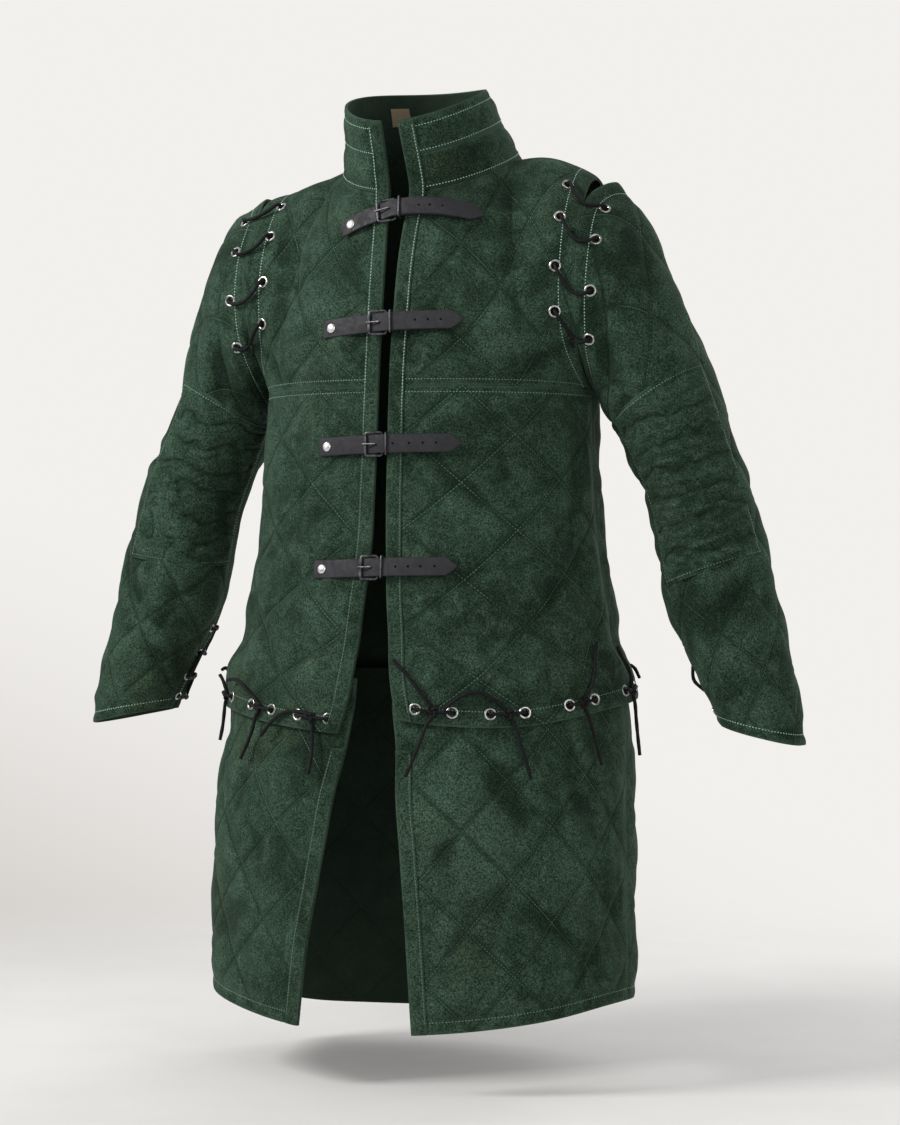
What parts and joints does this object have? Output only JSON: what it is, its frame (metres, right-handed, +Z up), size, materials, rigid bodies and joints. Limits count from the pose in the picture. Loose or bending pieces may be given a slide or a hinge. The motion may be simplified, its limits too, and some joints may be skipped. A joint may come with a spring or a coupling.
{
  "type": "gambeson",
  "caption": "Quilted suede gambeson with a stand collar, strap and buckle front, laced sleeves and a skirt tied to the body hem, in its worn form.",
  "frame": {"origin": "between the wearer's shoulders, level with the side of the neck", "axes": "+Z up, -Y out of the front, +X towards the wearer's left"},
  "size_m": [0.8998, 0.3799, 1.1048],
  "materials": {
    "suede": "mottled dark green suede",
    "edge_suede": "dark green suede strip",
    "strap_leather": "black smooth leather",
    "thong_leather": "black leather thong",
    "buckle_metal": "dark steel",
    "rivet_metal": "polished nickel",
    "label_cloth": "plain woven tape"
  },
  "bodies": {
    "root": {"front_upper_left": "suede", "front_upper_right": "suede", "front_lower_left": "suede", "front_lower_right": "suede", "back": "suede", "collar_lower": "suede", "collar_upper": "suede", "sleeve_left": "suede", "sleeve_right": "suede", "arm_patch_left": "suede", "arm_patch_right": "suede", "skirt_front_left": "suede", "skirt_front_right": "suede", "skirt_back": "suede", "edge_strip_left": "edge_suede", "edge_strip_right": "edge_suede", "skirt_strip_left": "edge_suede", "skirt_strip_right": "edge_suede", "label": "label_cloth", "strap_1": "strap_leather", "strap_2": "strap_leather", "strap_3": "strap_leather", "strap_4": "strap_leather", "chape_1": "strap_leather", "chape_2": "strap_leather", "chape_3": "strap_leather", "chape_4": "strap_leather", "buckle_1": "buckle_metal", "buckle_2": "buckle_metal", "buckle_3": "buckle_metal", "buckle_4": "buckle_metal", "prong_1": "buckle_metal", "prong_2": "buckle_metal", "prong_3": "buckle_metal", "prong_4": "buckle_metal", "keeper_1": "buckle_metal", "keeper_2": "buckle_metal", "keeper_3": "buckle_metal", "keeper_4": "buckle_metal", "rivet_1": "rivet_metal", "rivet_2": "rivet_metal", "rivet_3": "rivet_metal", "rivet_4": "rivet_metal", "tie_01": "thong_leather", "tie_02": "thong_leather", "tie_03": "thong_leather", "tie_04": "thong_leather", "tie_05": "thong_leather", "tie_06": "thong_leather", "tie_07": "thong_leather", "tie_08": "thong_leather", "tie_09": "thong_leather", "tie_10": "thong_leather", "tie_11": "thong_leather", "tie_12": "thong_leather", "shoulder_lace_left": "thong_leather", "shoulder_lace_right": "thong_leather", "cuff_lace_left": "thong_leather", "cuff_lace_right": "thong_leather"}
  },
  "joints": []
}
